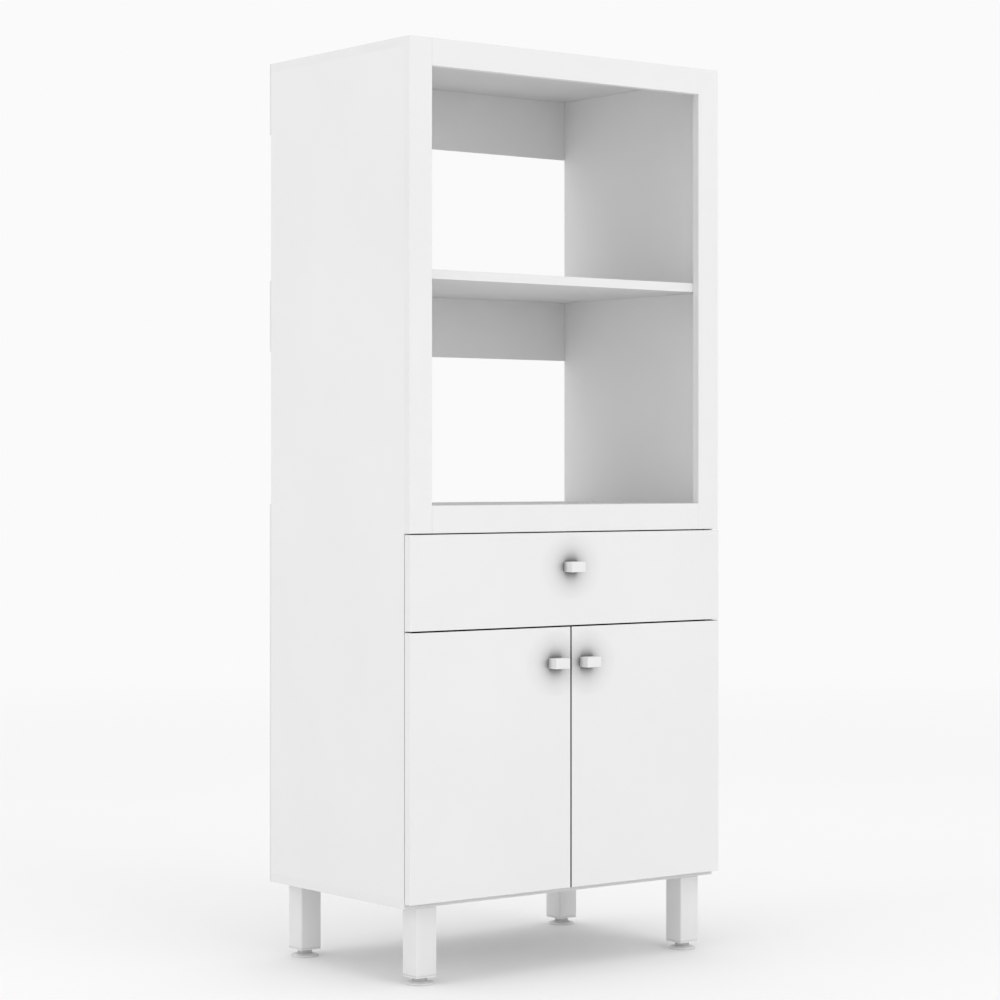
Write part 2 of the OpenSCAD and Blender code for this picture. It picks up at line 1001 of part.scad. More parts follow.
module drawer_runner() {
    web_x = drawer_x + sheet;
    top_z = runner_top_z;
    color("white") difference() {
        union() {
            box([drawer_x, front_back_y, runner_z], [web_x, drawer_end_y, top_z + sheet]);
            box([web_x, front_back_y, top_z], [web_x + drawer_flange, drawer_end_y, top_z + sheet]);
            box(
                [drawer_x - seat_flange, front_back_y, runner_z],
                [drawer_x, drawer_end_y, runner_z + sheet]
            );
            at_drawer_roller() roller_pin();
        }
        drawer_runner_screws(play);
    }
}

module drawer_runner_right() {
    drawer_runner();
}

module drawer_runner_left() {
    mirror([1, 0, 0]) drawer_runner();
}

module cabinet_rollers() {
    color("white") both_sides() at_cabinet_roller() roller();
}

module drawer_rollers() {
    color("white") both_sides() at_drawer_roller() roller();
}

// Screws of the right cabinet runner, along +X into the side panel
module cabinet_runner_screws(extra = 0) {
    for (y = runner_screw_ys) translate([inner_x - sheet, carcass_y + y, roller_z]) {
        mirror([1, 0, 0]) panel_screw(sheet, extra);
    }
}

// Screws of the right drawer runner, along -X into the drawer's side
module drawer_runner_screws(extra = 0) {
    for (y = runner_screw_ys) translate([drawer_x + sheet, front_back_y + y, roller_z]) {
        rotate([0, -90, 0]) {
            cylinder(d = wood_screw_d + 2 * extra, h = runner_screw_l + sheet + extra);
        }
        rotate([0, 90, 0]) cylinder(d = wood_head_d, h = panel_head_t);
    }
}

module runner_screws() {
    color("silver") both_sides() drawer_runner_screws();
}

// Every screw that bites into the right side panel
module panel_screw_set(extra = 0) {
    cabinet_runner_screws(extra);
    mirror([1, 0, 0]) left_hinges() plate_screws(extra);
}

module panel_screws() {
    color("silver") both_sides() {
        panel_screw_set();
        mirror([1, 0, 0]) left_hinges() arm_screw();
    }
}

// ---------------------------------------------------------------- drawer box

// The grooves' and the bottom sheet's outline, grown by extra
module bottom_sheet(extra = 0) {
    edge = drawer_in_x + groove - bottom_play + extra;
    box(
        [-edge, front_back_y - groove + bottom_play - extra, bottom_z - extra],
        [edge, drawer_end_y + extra, bottom_z + back_t + extra]
    );
}

// Screws from the sides into the drawer's back, and up through the bottom into it
module all_drawer_screws(extra = 0) {
    back_y = drawer_end_y - board / 2;
    both_sides() {
        for (rise = drawer_screw_rises) {
            translate([drawer_x, back_y, drawer_z + rise * drawer_h]) rotate([0, 90, 0]) {
                sunk_screw(drawer_screw_d, drawer_screw_l, drawer_head_d, drawer_head_t, extra);
            }
        }
    }
    for (col = [-1, 0, 1]) translate([col * back_pitch, back_y, bottom_z]) rotate([180, 0, 0]) {
        sunk_screw(back_screw_d, back_screw_l, back_head_d, back_head_t, extra);
    }
}

module drawer_front() {
    color("white") difference() {
        box(
            [-half_w, front_face_y, drawer_front_z],
            [half_w, front_back_y, drawer_front_z + drawer_front_h]
        );
        bottom_sheet(bottom_play);
        drawer_joints() cam_hole();
        at_drawer_knob() knob_screw_shape(play);
    }
}

module drawer_side() {
    color("white") difference() {
        box([drawer_in_x, front_back_y, drawer_z], [drawer_x, drawer_end_y, drawer_z + drawer_h]);
        bottom_sheet(bottom_play);
        drawer_joints() cam_hole();
        all_drawer_screws(play);
        drawer_runner_screws(play);
    }
}

module drawer_side_right() {
    drawer_side();
}

module drawer_side_left() {
    mirror([1, 0, 0]) drawer_side();
}

module drawer_back() {
    color("white") difference() {
        box(
            [-drawer_in_x, drawer_end_y - board, bottom_z + back_t],
            [drawer_in_x, drawer_end_y, drawer_z + drawer_h]
        );
        all_drawer_screws(play);
    }
}

module drawer_bottom() {
    color("whitesmoke") difference() {
        bottom_sheet();
        all_drawer_screws(play);
    }
}

module drawer_screws() {
    color("silver") all_drawer_screws();
}

// ---------------------------------------------------------------- the nodes

side_panel_left();
side_panel_right();
top_board();
bottom_board();
middle_shelf();
niche_floor();
cross_rail();
frame_stile_left();
frame_stile_right();
frame_rail_top();
frame_rail_bottom();
back_strip_upper();
back_strip_lower();
back_panel();
back_screws();
cams();
cam_bolts();
dowels();
top_screws();
cupboard_shelf();
shelf_pins();
legs();
leg_plugs();
leg_bolts();
glide_front_left();
glide_front_right();
glide_rear_left();
glide_rear_right();
door_left();
door_right();
hinge_plates();
hinge_arms();
panel_screws();
hinge_links_left();
hinge_links_right();
hinge_cups_left();
hinge_cups_right();
cup_screws_left();
cup_screws_right();
knob_left();
knob_right();
knob_screw_left();
knob_screw_right();
drawer_front();
drawer_side_left();
drawer_side_right();
drawer_back();
drawer_bottom();
drawer_cams();
drawer_cam_bolts();
drawer_screws();
drawer_knob();
drawer_knob_screw();
cabinet_runner_left();
cabinet_runner_right();
drawer_runner_left();
drawer_runner_right();
runner_screws();
cabinet_rollers();
drawer_rollers();
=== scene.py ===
# %% [markdown]
# # A tall white microwave cabinet
# The cabinet arrives as a imported CAD model: flat boards, drawer, doors, hinges, runners and legs, each
# a separate node in metres. This lesson gives those pieces their finish. Where the CAD shape is sharp
# and plain, a piece modelled here takes its place. The first cell loads the frame and keeps its box.

# %% Load the frame
import math

import bpy
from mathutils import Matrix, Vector


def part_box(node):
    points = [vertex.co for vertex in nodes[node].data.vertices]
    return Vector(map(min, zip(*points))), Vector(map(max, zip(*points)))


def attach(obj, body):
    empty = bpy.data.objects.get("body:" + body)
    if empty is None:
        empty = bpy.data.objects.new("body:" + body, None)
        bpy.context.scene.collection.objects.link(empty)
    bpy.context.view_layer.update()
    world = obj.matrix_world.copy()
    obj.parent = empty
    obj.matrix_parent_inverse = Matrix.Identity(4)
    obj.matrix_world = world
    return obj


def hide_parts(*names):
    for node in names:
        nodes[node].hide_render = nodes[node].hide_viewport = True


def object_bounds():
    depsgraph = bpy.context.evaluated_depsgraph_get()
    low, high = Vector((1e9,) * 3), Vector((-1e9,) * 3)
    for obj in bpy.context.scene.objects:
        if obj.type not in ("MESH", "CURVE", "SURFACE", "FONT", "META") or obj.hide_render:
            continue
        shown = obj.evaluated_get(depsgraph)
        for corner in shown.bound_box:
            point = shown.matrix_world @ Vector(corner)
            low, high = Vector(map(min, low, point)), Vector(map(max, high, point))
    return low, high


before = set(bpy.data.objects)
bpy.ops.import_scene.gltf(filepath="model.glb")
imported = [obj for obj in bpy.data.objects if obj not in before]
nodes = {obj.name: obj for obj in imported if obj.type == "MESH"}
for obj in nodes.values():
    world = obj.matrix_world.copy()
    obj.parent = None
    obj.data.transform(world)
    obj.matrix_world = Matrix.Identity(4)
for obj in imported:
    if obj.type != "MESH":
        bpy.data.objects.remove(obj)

MM = 0.001
scene = bpy.context.scene
scene.view_settings.view_transform = "Standard"
cad_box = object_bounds()
print("CAD nodes:", len(nodes), "box:", [round(v, 4) for corner in cad_box for v in corner])

# %% [markdown]
# ## The camera
# The view is a product photograph taken with a long lens from the front left. Its horizon lies a
# little above the middle of the picture while the upright edges stay upright, so the camera is level
# and the lens is shifted instead of tilted.

# %% Camera
bpy.ops.object.camera_add(
    location=(-2.9084, -3.798, 0.8165),
    rotation=(math.radians(90), 0, math.radians(-37.45)),
)
camera = bpy.context.object
camera.name = "studio_camera"
camera.data.lens = 101.37
camera.data.sensor_width = 36
camera.data.shift_y = -0.02804
scene.camera = camera
print("lens", round(camera.data.lens, 2), "mm")

# %% [markdown]
# ## Light and background
# White furniture is photographed in light from all sides, so that no face turns black and every
# fold still shows a shade. A world does most of that. It could be a picture of a studio, but white
# needs no file: an even level, and above it a glow that grows towards the zenith, as under a big
# ceiling of cloth. The glow keeps the floor bright and leaves ceilings and the space between the legs
# in shade. Camera, mirror and glass rays see a nearly pure white backdrop instead.

# %% World
BACKDROP = 0.956
EVEN_LEVEL = 0.73
ZENITH_GLOW = 0.96
ZENITH_POWER = 4.0
world = bpy.data.worlds.new("white_studio")
scene.world = world
world.use_nodes = True
tree = world.node_tree
tree.nodes.clear()


def calculate(operation, first, second):
    step = tree.nodes.new("ShaderNodeMath")
    step.operation = operation
    for socket, value in zip(step.inputs, (first, second)):
        if isinstance(value, bpy.types.NodeSocket):
            tree.links.new(value, socket)
        else:
            socket.default_value = value
    return step.outputs[0]


path = tree.nodes.new("ShaderNodeLightPath").outputs
seen = calculate("MAXIMUM", path["Is Camera Ray"], path["Is Glossy Ray"])
seen = calculate("MAXIMUM", seen, path["Is Transmission Ray"])
direction = tree.nodes.new("ShaderNodeTexCoord")
parts = tree.nodes.new("ShaderNodeSeparateXYZ")
tree.links.new(direction.outputs["Generated"], parts.inputs[0])
height = calculate("MAXIMUM", parts.outputs["Z"], 0.0)
zenith = calculate("MULTIPLY", calculate("POWER", height, ZENITH_POWER), ZENITH_GLOW)
light_level = calculate("ADD", zenith, EVEN_LEVEL)
shown = calculate("MULTIPLY", seen, BACKDROP)
unseen = calculate("MULTIPLY", calculate("SUBTRACT", 1.0, seen), light_level)
sky = tree.nodes.new("ShaderNodeBackground")
sky.inputs["Color"].default_value = (1, 1, 1, 1)
tree.links.new(calculate("ADD", shown, unseen), sky.inputs["Strength"])
out = tree.nodes.new("ShaderNodeOutputWorld")
tree.links.new(sky.outputs[0], out.inputs["Surface"])
print("backdrop", BACKDROP, "zenith", EVEN_LEVEL + ZENITH_GLOW)

# %% [markdown]
# Two large soft boxes light the two sides that the camera sees. One stands in front of the cabinet
# and one at its left, each square to the face it lights, so that little of their light reaches into
# the niches, which stay a soft grey. They stand far off, which keeps the floor before them from
# glowing. Neither the camera nor a gloss shows them, so no white patch of lamp lies on a board.

# %% Soft boxes
def soft_box(name, place, target, size, power):
    bpy.ops.object.light_add(type="AREA", location=place)
    lamp = bpy.context.object
    lamp.name = name
    lamp.data.shape = "SQUARE"
    lamp.data.size = size
    lamp.data.energy = power
    aim = Vector(target) - Vector(place)
    lamp.rotation_euler = aim.to_track_quat("-Z", "Y").to_euler()
    lamp.visible_camera = False
    lamp.visible_glossy = False
    return lamp


middle = (cad_box[0] + cad_box[1]) / 2
soft_box("front_soft_box", (0.5, -8.0, 3.4), middle, 5.0, 118)
soft_box("left_soft_box", (-8.0, 0.4, 3.2), middle, 5.0, 86)

# %% [markdown]
# ## The floor
# The floor is a wide pale disc that carries the cabinet's shadow. Its finish, further down, fades into
# the backdrop's tone with the distance, so that no edge shows from any side.

# %% Floor
FLOOR_RADIUS = 13.5
bpy.ops.mesh.primitive_circle_add(vertices=128, radius=FLOOR_RADIUS, fill_type="NGON")
floor = bpy.context.object
floor.name = "studio_floor"
print("floor radius", FLOOR_RADIUS, "m")

# %% [markdown]
# ## A helper for materials
# Every finish here is made of nodes. Placing each node by hand takes many lines, so one short helper
# adds a node, sets its options, and either links an input or writes a plain value into it.

# %% Add a node
def add(tree, kind, inputs=None, **options):
    new = tree.nodes.new(kind)
    for name, value in options.items():
        setattr(new, name, value)
    for name, value in (inputs or {}).items():
        if isinstance(value, bpy.types.NodeSocket):
            tree.links.new(value, new.inputs[name])
        else:
            new.inputs[name].default_value = value
    return new


def shade(level, warmth=0.0):
    return (level * (1 + warmth), level, level * (1 - warmth), 1)


print("white written as", shade(0.8))

# %% [markdown]
# ## Shared effects
# Two effects come back in nearly every finish. The first is a slow drift between two close colours,
# because no sheet, paint or casting has one even tone. The second is a fine grain that breaks up the
# gloss: it gives a height for the bump and a mask for the roughness. As node groups they are built
# once and placed with their own values in each material.

# %% Node group: tone drift
def new_group(name, inputs, outputs):
    group = bpy.data.node_groups.new(name, "ShaderNodeTree")
    for label, kind in inputs:
        group.interface.new_socket(name=label, in_out="INPUT", socket_type=kind)
    for label, kind in outputs:
        group.interface.new_socket(name=label, in_out="OUTPUT", socket_type=kind)
    return group, group.nodes.new("NodeGroupInput"), group.nodes.new("NodeGroupOutput")


tone_drift, given, result = new_group(
    "tone_drift",
    [("Vector", "NodeSocketVector"), ("Scale", "NodeSocketFloat"),
     ("Dark", "NodeSocketColor"), ("Light", "NodeSocketColor")],
    [("Color", "NodeSocketColor")],
)
cloud = add(tone_drift, "ShaderNodeTexNoise", {
    "Vector": given.outputs["Vector"], "Scale": given.outputs["Scale"],
    "Detail": 3.0, "Roughness": 0.5,
})
spread = add(tone_drift, "ShaderNodeMapRange", {
    "Value": cloud.outputs["Fac"], "From Min": 0.35, "From Max": 0.65,
})
mixed = add(tone_drift, "ShaderNodeMix", data_type="RGBA")
tone_drift.links.new(spread.outputs["Result"], mixed.inputs["Factor"])
tone_drift.links.new(given.outputs["Dark"], mixed.inputs[6])
tone_drift.links.new(given.outputs["Light"], mixed.inputs[7])
tone_drift.links.new(mixed.outputs[2], result.inputs["Color"])
print("group", tone_drift.name)

# %% Node group: fine grain
fine_grain, given, result = new_group(
    "fine_grain",
    [("Vector", "NodeSocketVector"), ("Scale", "NodeSocketFloat"),
     ("Smooth", "NodeSocketFloat"), ("Rough", "NodeSocketFloat")],
    [("Height", "NodeSocketFloat"), ("Roughness", "NodeSocketFloat")],
)
pebble = add(fine_grain, "ShaderNodeTexNoise", {
    "Vector": given.outputs["Vector"], "Scale": given.outputs["Scale"],
    "Detail": 2.0, "Roughness": 0.45,
})
tenth = add(fine_grain, "ShaderNodeMath", {0: given.outputs["Scale"], 1: 0.05},
            operation="MULTIPLY")
patch = add(fine_grain, "ShaderNodeTexNoise", {
    "Vector": given.outputs["Vector"], "Scale": tenth.outputs[0], "Detail": 2.0,
})
gloss = add(fine_grain, "ShaderNodeMapRange", {
    "Value": patch.outputs["Fac"], "From Min": 0.3, "From Max": 0.7,
    "To Min": given.outputs["Smooth"], "To Max": given.outputs["Rough"],
})
fine_grain.links.new(pebble.outputs["Fac"], result.inputs["Height"])
fine_grain.links.new(gloss.outputs["Result"], result.inputs["Roughness"])
print("group", fine_grain.name)

# %% [markdown]
# The fronts and knobs get a third effect, painted shade. The gaps and the rings round the knobs are
# darker in the photograph than plain white boards come out in this light. The group measures how open
# the place is within a short reach and darkens its colour by a power of that: shade painted into the
# colour. It is a look and not a measured property of the boards: reach and power were fitted to the
# photograph.

# %% Node group: contact shade
# Painted shade: the colour is darkened by occlusion within a short reach.
contact_shade, given, result = new_group(
    "contact_shade",
    [("Color", "NodeSocketColor"), ("Reach", "NodeSocketFloat"), ("Power", "NodeSocketFloat")],
    [("Color", "NodeSocketColor")],
)
near = add(contact_shade, "ShaderNodeAmbientOcclusion", {"Distance": given.outputs["Reach"]},
           samples=16)
dim = add(contact_shade, "ShaderNodeMath", {0: near.outputs["AO"], 1: given.outputs["Power"]},
          operation="POWER")
toned = add(contact_shade, "ShaderNodeVectorMath", {0: given.outputs["Color"]}, operation="SCALE")
contact_shade.links.new(dim.outputs[0], toned.inputs["Scale"])
contact_shade.links.new(toned.outputs[0], result.inputs["Color"])
print("group", contact_shade.name)

# %% [markdown]
# ## One recipe, many finishes
# Laminate, hardboard, zinc, nylon and lacquer differ in colour, gloss and grain, but they are built
# the same way. One recipe joins the two groups to a Principled shader. A Mapping node stretches the
# grain where a finish has a direction, such as brushed or drawn metal.

# %% Recipe
def finish_of(name, dark, light, drift, grain, smooth, rough, depth, stretch=(1, 1, 1), contact=None,
              **plain):
    material = bpy.data.materials.new(name)
    material.use_nodes = True
    tree = material.node_tree
    tree.nodes.clear()
    place = add(tree, "ShaderNodeTexCoord")
    turned = add(tree, "ShaderNodeMapping", {
        "Vector": place.outputs["Object"], "Scale": stretch,
    })
    tone = add(tree, "ShaderNodeGroup", node_tree=tone_drift)
    tree.links.new(turned.outputs[0], tone.inputs["Vector"])
    tone.inputs["Scale"].default_value = drift
    tone.inputs["Dark"].default_value = dark
    tone.inputs["Light"].default_value = light
    colour = tone.outputs["Color"]
    # Painted shade: where contact is given, the colour is darkened by a power of the occlusion.
    if contact:
        dimmed = add(tree, "ShaderNodeGroup", node_tree=contact_shade)
        tree.links.new(colour, dimmed.inputs["Color"])
        dimmed.inputs["Reach"].default_value = contact[0] * MM
        dimmed.inputs["Power"].default_value = contact[1]
        colour = dimmed.outputs["Color"]
    skin = add(tree, "ShaderNodeGroup", node_tree=fine_grain)
    tree.links.new(turned.outputs[0], skin.inputs["Vector"])
    skin.inputs["Scale"].default_value = grain
    skin.inputs["Smooth"].default_value = smooth
    skin.inputs["Rough"].default_value = rough
    bump = add(tree, "ShaderNodeBump", {
        "Height": skin.outputs["Height"], "Strength": 1.0, "Distance": depth,
    })
    shader = add(tree, "ShaderNodeBsdfPrincipled", {
        "Base Color": colour, "Roughness": skin.outputs["Roughness"],
        "Normal": bump.outputs["Normal"], **plain,
    })
    end = add(tree, "ShaderNodeOutputMaterial")
    tree.links.new(shader.outputs[0], end.inputs["Surface"])
    return material


print("recipe ready")

# %% [markdown]
# ## The finishes
# The boards are chipboard under a white melamine sheet with a fine pearl texture, and their narrow
# sides carry a slightly smoother plastic edging. The ceilings and the floor of the niches are the
# same sheet, but get a duller, slightly greyer tone that was fitted to the photograph; the greyer
# colour is painted shade. The backs are thin hardboard with a flat white lacquer. The legs are powder
# coated steel tube, the knobs moulded plastic, and the glides turned and satin plated. Inside are zinc
# plated and cast fittings, white enamelled runners, nylon rollers and beech dowels.

# %% Board finishes
SHEET = (shade(0.80), shade(0.815), 4.0, 1400.0, 0.40, 0.48, 0.00003)
BAND = (shade(0.785), shade(0.80), 9.0, 700.0, 0.33, 0.40, 0.00002)
MATT = {"Specular IOR Level": 0.25}
DULL = {"Specular IOR Level": 0.0}
laminate = finish_of("white_laminate", *SHEET, **MATT)
NICHE = (4.0, 1400.0, 0.62, 0.70, 0.00003)
# Painted shade: the ceilings of the niches are the white sheet with a darker colour.
niche_ceiling_painted_shade = finish_of("niche_ceiling_painted_shade", shade(0.675), shade(0.69), *NICHE, **MATT)
# Painted shade: the top of the niche floor is the white sheet with a darker colour.
niche_ground_painted_shade = finish_of("niche_ground_painted_shade", shade(0.71), shade(0.725), *NICHE, **DULL)
edging = finish_of("white_edging", *BAND, **MATT)
# Painted shade: the fronts' sheet and edging are the same finishes, darkened by occlusion in gaps and
# round knobs.
front_laminate_painted_shade = finish_of("front_laminate_painted_shade", *SHEET, contact=(48, 2.4), **MATT)
front_edging_painted_shade = finish_of("front_edging_painted_shade", *BAND, contact=(30, 6.0), **DULL)
chipboard = finish_of(
    "raw_chipboard", (0.36, 0.22, 0.11, 1), (0.66, 0.48, 0.29, 1), 900.0, 1500.0, 0.80, 0.95, 0.0002)
hardboard = finish_of(
    "white_hardboard", shade(0.74), shade(0.76), 12.0, 900.0, 0.55, 0.65, 0.00005)
beech = finish_of(
    "beech_dowel", (0.56, 0.35, 0.19, 1), (0.72, 0.50, 0.30, 1), 160.0, 900.0, 0.55, 0.70, 0.0001,
    stretch=(0.12, 1, 1))
print("boards:", laminate.name, edging.name, chipboard.name, hardboard.name, beech.name)

# %% Metal and plastic finishes
leg_coat = finish_of(
    "white_leg_coat", shade(0.77), shade(0.79), 14.0, 1100.0, 0.36, 0.46, 0.00006)
# Painted shade: the knob's colour is darkened by occlusion where it stands against the door.
knob_plastic_painted_shade = finish_of(
    "white_knob", shade(0.79), shade(0.805), 30.0, 1600.0, 0.34, 0.42, 0.00002,
    contact=(12, 1.0))
nylon = finish_of(
    "white_nylon", shade(0.76, 0.01), shade(0.80, 0.01), 60.0, 1500.0, 0.42, 0.52, 0.00003,
    **{"Subsurface Weight": 0.05, "Subsurface Scale": 0.002})
enamel = finish_of(
    "white_enamelled_steel", shade(0.80), shade(0.83), 18.0, 900.0, 0.28, 0.36, 0.00003)
zinc = finish_of(
    "zinc_plated_steel", shade(0.56, 0.01), shade(0.70, -0.01), 90.0, 1200.0, 0.26, 0.40, 0.00003,
    Metallic=1.0)
cast_zinc = finish_of(
    "cast_zinc", shade(0.50), shade(0.62), 150.0, 1500.0, 0.42, 0.58, 0.00008, Metallic=1.0)
satin_metal = finish_of(
    "satin_plated_glide", shade(0.72), shade(0.78), 60.0, 900.0, 0.50, 0.60, 0.00003,
    stretch=(1, 1, 6), Metallic=0.3)
thread_metal = finish_of(
    "dull_thread_metal", shade(0.50), shade(0.58), 60.0, 900.0, 0.50, 0.60, 0.00005,
    stretch=(1, 1, 12), Metallic=0.2)
print("metals and plastics:", leg_coat.name, knob_plastic_painted_shade.name, zinc.name, satin_metal.name)

# %% [markdown]
# The floor gets the same recipe, with no visible grain, only a pale even tone. For the camera alone it
# passes into the plain backdrop tone between three and seven metres from the cabinet, as a roll of
# studio paper does.

# %% Floor finish
pale_floor = finish_of(
    "pale_floor", shade(0.85), shade(0.855), 0.6, 40.0, 0.8, 0.9, 0.00001,
    **{"Specular IOR Level": 0.2})
tree = pale_floor.node_tree
end = next(n for n in tree.nodes if n.type == "OUTPUT_MATERIAL")
ground = end.inputs["Surface"].links[0].from_socket
where = add(tree, "ShaderNodeTexCoord")
away = add(tree, "ShaderNodeVectorMath", {0: where.outputs["Object"]}, operation="LENGTH")
fade = add(tree, "ShaderNodeMapRange", {
    "Value": away.outputs["Value"], "From Min": 3.0, "From Max": 7.0,
}, interpolation_type="SMOOTHSTEP")
ray = add(tree, "ShaderNodeLightPath")
only_seen = add(tree, "ShaderNodeMath", {
    0: fade.outputs["Result"], 1: ray.outputs["Is Camera Ray"],
}, operation="MULTIPLY")
paper = add(tree, "ShaderNodeEmission", {"Color": (1, 1, 1, 1), "Strength": BACKDROP})
blend = add(tree, "ShaderNodeMixShader", {0: only_seen.outputs[0], 1: ground, 2: paper.outputs[0]})
tree.links.new(blend.outputs[0], end.inputs["Surface"])
floor.data.materials.append(pale_floor)
print("floor finish:", pale_floor.name)

# %% [markdown]
# ## Finishes for the CAD nodes
# Most fittings keep their CAD shape, because it is already right. Each gets its finish in the slots
# that its object brings along.

# %% Dress the CAD nodes
def dress(material, *names):
    for name in names:
        for slot in nodes[name].material_slots:
            slot.material = material


dress(hardboard, "back_strip_upper", "back_strip_lower", "back_panel", "drawer_bottom")
dress(laminate, "side_panel_left", "side_panel_right", "top_board", "bottom_board",
      "middle_shelf", "niche_floor", "cross_rail", "frame_stile_left", "frame_stile_right",
      "frame_rail_top", "frame_rail_bottom", "cupboard_shelf", "door_left", "door_right",
      "drawer_front", "drawer_side_left", "drawer_side_right", "drawer_back")
dress(cast_zinc, "cams", "drawer_cams")
dress(zinc, "cam_bolts", "drawer_cam_bolts", "top_screws", "back_screws", "shelf_pins", "leg_bolts",
      "hinge_plates", "hinge_arms", "panel_screws", "hinge_links_left", "hinge_links_right",
      "hinge_cups_left", "hinge_cups_right", "cup_screws_left", "cup_screws_right",
      "knob_screw_left", "knob_screw_right", "drawer_screws", "drawer_knob_screw",
      "runner_screws")
dress(beech, "dowels")
dress(nylon, "leg_plugs", "cabinet_rollers", "drawer_rollers")
dress(enamel, "cabinet_runner_left", "cabinet_runner_right", "drawer_runner_left",
      "drawer_runner_right")
dress(leg_coat, "legs")
dress(knob_plastic_painted_shade, "knob_left", "knob_right", "drawer_knob")
dress(satin_metal, "glide_front_left", "glide_front_right", "glide_rear_left",
      "glide_rear_right")
print("dressed", sum(1 for n in nodes.values() if n.material_slots), "nodes")

# %% [markdown]
# ## Working tools
# Two small helpers keep the modelling cells short. One clears the selection and makes a single object
# active. The other selects parts of a mesh by a test in code, which stands for clicking on them.

# %% Selection helpers
def only(piece):
    bpy.ops.object.select_all(action="DESELECT")
    piece.select_set(True)
    bpy.context.view_layer.objects.active = piece


def pick(piece, kind, test):
    bpy.ops.object.mode_set(mode="OBJECT")
    mesh = piece.data
    for group in (mesh.vertices, mesh.edges, mesh.polygons):
        group.foreach_set("select", [False] * len(group))
    count = 0
    for part in getattr(mesh, kind):
        part.select = bool(test(mesh, part))
        count += part.select
    bpy.ops.object.mode_set(mode="EDIT")
    bpy.ops.mesh.select_mode(type={"vertices": "VERT", "edges": "EDGE", "polygons": "FACE"}[kind])
    return count


print("helpers ready")

# %% [markdown]
# ## Boards with eased edges
# A sawn and edged board never ends in a knife edge: the edging is rounded by half a millimetre. That
# round catches the light and draws the thin line by which a board is read. The piece could be a new
# block, but then its holes and grooves would have to be cut again. So a copy of the CAD board is
# merged, its flat triangles are dissolved, and only the edges of its outer box are bevelled. An edge
# that lies against another board is left sharp, because a pressed joint shows no groove. Then the
# faces get their materials by place: sheet on the two broad sides, edging on the narrow ones and raw
# chipboard inside each hole. The undersides over the niches and the top of the niche floor get a
# darker sheet, which is painted shade. The outer sheet and the edging of the fronts and of the cross
# rail carry the contact shade, painted shade in the gaps and round the knobs.

# %% Ease a board
EASE = 0.6 * MM
FRONT_EASE = 1.0 * MM
NEAR = 0.02 * MM
BOARDS = {
    "carcass": {"side_panel_left": "X", "side_panel_right": "X", "top_board": "Z",
                "bottom_board": "Z", "middle_shelf": "Z", "niche_floor": "Z", "cross_rail": "Z",
                "frame_stile_left": "Y", "frame_stile_right": "Y", "frame_rail_top": "Y",
                "frame_rail_bottom": "Y", "cupboard_shelf": "Z"},
    "left_door": {"door_left": "Y"},
    "right_door": {"door_right": "Y"},
    "drawer": {"drawer_front": "Y", "drawer_side_left": "X", "drawer_side_right": "X",
               "drawer_back": "Y"},
}
FRONTS = ("door_left", "door_right", "drawer_front")
# Boards whose narrow sides get painted shade in the gaps.
GAP_SHADE_PAINTED = FRONTS + ("cross_rail",)
OVER_NICHES = ("top_board", "middle_shelf")
SKINS = (laminate, edging, chipboard, front_laminate_painted_shade, front_edging_painted_shade, niche_ceiling_painted_shade, niche_ground_painted_shade)
HOLE_DEPTH = 1.5 * MM
OUTER_SIDE = 295 * MM
BOARD_BOXES = {name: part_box(name) for boards in BOARDS.values() for name in boards}


def at_limits(point, low, high):
    return [abs(point[a] - low[a]) < NEAR or abs(point[a] - high[a]) < NEAR for a in range(3)]


def on_seam(point, own):
    return any(
        all(low[a] - NEAR < point[a] < high[a] + NEAR for a in range(3))
        for name, (low, high) in BOARD_BOXES.items() if name != own
    )


def eased_copy(name, new_name, ease, segments, test=None):
    low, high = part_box(name)
    piece = bpy.data.objects.new(new_name, nodes[name].data.copy())
    scene.collection.objects.link(piece)
    only(piece)
    bpy.ops.object.mode_set(mode="EDIT")
    bpy.ops.mesh.select_all(action="SELECT")
    bpy.ops.mesh.remove_doubles(threshold=NEAR / 4)
    bpy.ops.mesh.dissolve_limited(angle_limit=math.radians(0.5))

    def on_box_edge(mesh, edge):
        ends = [mesh.vertices[v].co for v in edge.vertices]
        first, second = (at_limits(end, low, high) for end in ends)
        along = max(range(3), key=lambda a: abs(ends[0][a] - ends[1][a]))
        if not all(first[a] and second[a] for a in range(3) if a != along):
            return False
        middle = (ends[0] + ends[1]) / 2
        at_back = name in FRONTS and abs(middle.y - high.y) < NEAR
        return not at_back and not on_seam(middle, name)

    count = pick(piece, "edges", test or on_box_edge)
    bpy.ops.mesh.bevel(offset=ease, segments=segments, affect="EDGES")
    bpy.ops.object.mode_set(mode="OBJECT")
    return piece, count


def skin_of(name, face, thin, low, high):
    across = face.normal["XYZ".index(thin)]
    if min(min(face.center[a] - low[a], high[a] - face.center[a]) for a in range(3)) > HOLE_DEPTH:
        return chipboard
    if abs(across) > 0.9:
        # Painted shade: the outward sheet of the fronts is darkened near the knobs and gaps.
        if across < 0 and name in FRONTS:
            return front_laminate_painted_shade
        # Painted shade: undersides over the niches and the top of the niche floor get the darker colour.
        if across < 0 and name in OVER_NICHES:
            return niche_ceiling_painted_shade
        return niche_ground_painted_shade if across > 0 and name == "niche_floor" else laminate
    # Painted shade in the gaps on narrow sides, except the drawer front's top and the outer ends.
    upper = name == "drawer_front" and face.normal.z > 0.3
    outer = abs(face.center.x) > OUTER_SIDE
    return front_edging_painted_shade if name in GAP_SHADE_PAINTED and not (upper or outer) else edging


